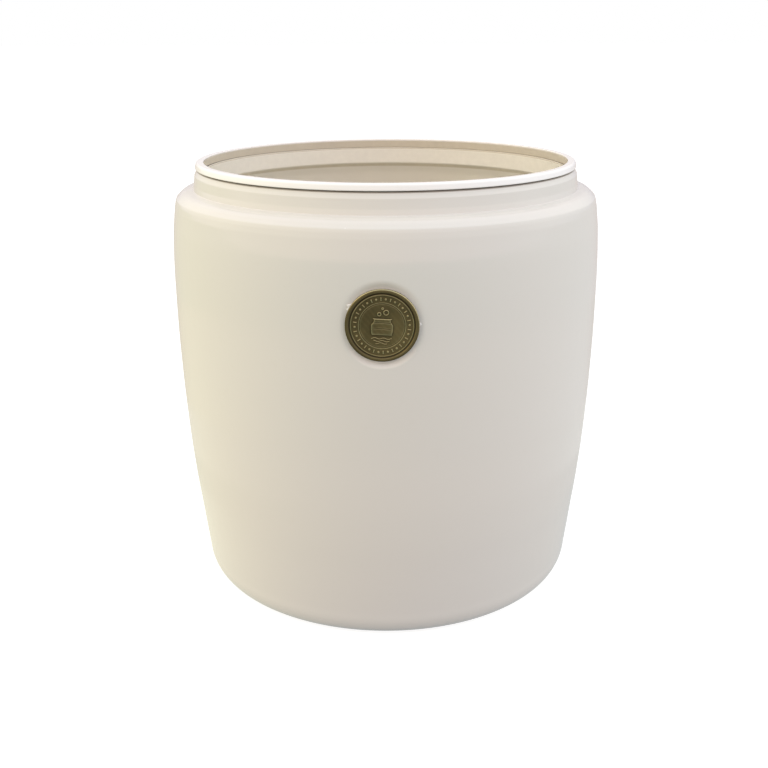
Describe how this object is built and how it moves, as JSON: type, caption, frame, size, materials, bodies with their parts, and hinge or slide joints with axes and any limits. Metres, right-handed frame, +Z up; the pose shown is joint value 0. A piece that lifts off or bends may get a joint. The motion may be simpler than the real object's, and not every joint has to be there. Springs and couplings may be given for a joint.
{
  "type": "ceramic crock fermenter",
  "caption": "Open glazed stoneware fermenting crock with rounded shoulder, short neck, loose rim ring, front medallion and half-moon weights.",
  "frame": {"origin": "centre of the foot, on the plane the crock stands on", "axes": "+Z up along the crock's turning axis, -Y towards the front medallion, +X to the right of a viewer facing the medallion"},
  "size_m": [0.24, 0.2408, 0.24],
  "materials": {
    "cream_glaze": "glossy cream glaze, unglazed foot",
    "white_glaze": "glossy off-white glaze",
    "antique_brass": "antiqued, dark in the recesses and rubbed bright on the edges",
    "adhesive": "matt pale adhesive",
    "weight_glaze": "semi-matt cream glaze"
  },
  "bodies": {
    "crock": {"crock_body": "cream_glaze", "badge": "antique_brass", "badge_pad": "adhesive"},
    "ring": {"rim_ring": "white_glaze"},
    "left_weight": {"weight_left": "weight_glaze"},
    "right_weight": {"weight_right": "weight_glaze"}
  },
  "joints": [
    {"name": "ring_lift", "type": "slide", "parent": "crock", "child": "ring", "axis": [0, 0, 1], "range_m": [0, 0.06]},
    {"name": "weight_left_lift", "type": "slide", "parent": "crock", "child": "left_weight", "axis": [0, 0, 1], "range_m": [0, 0.26]},
    {"name": "weight_right_lift", "type": "slide", "parent": "crock", "child": "right_weight", "axis": [0, 0, 1], "range_m": [0, 0.26]}
  ]
}
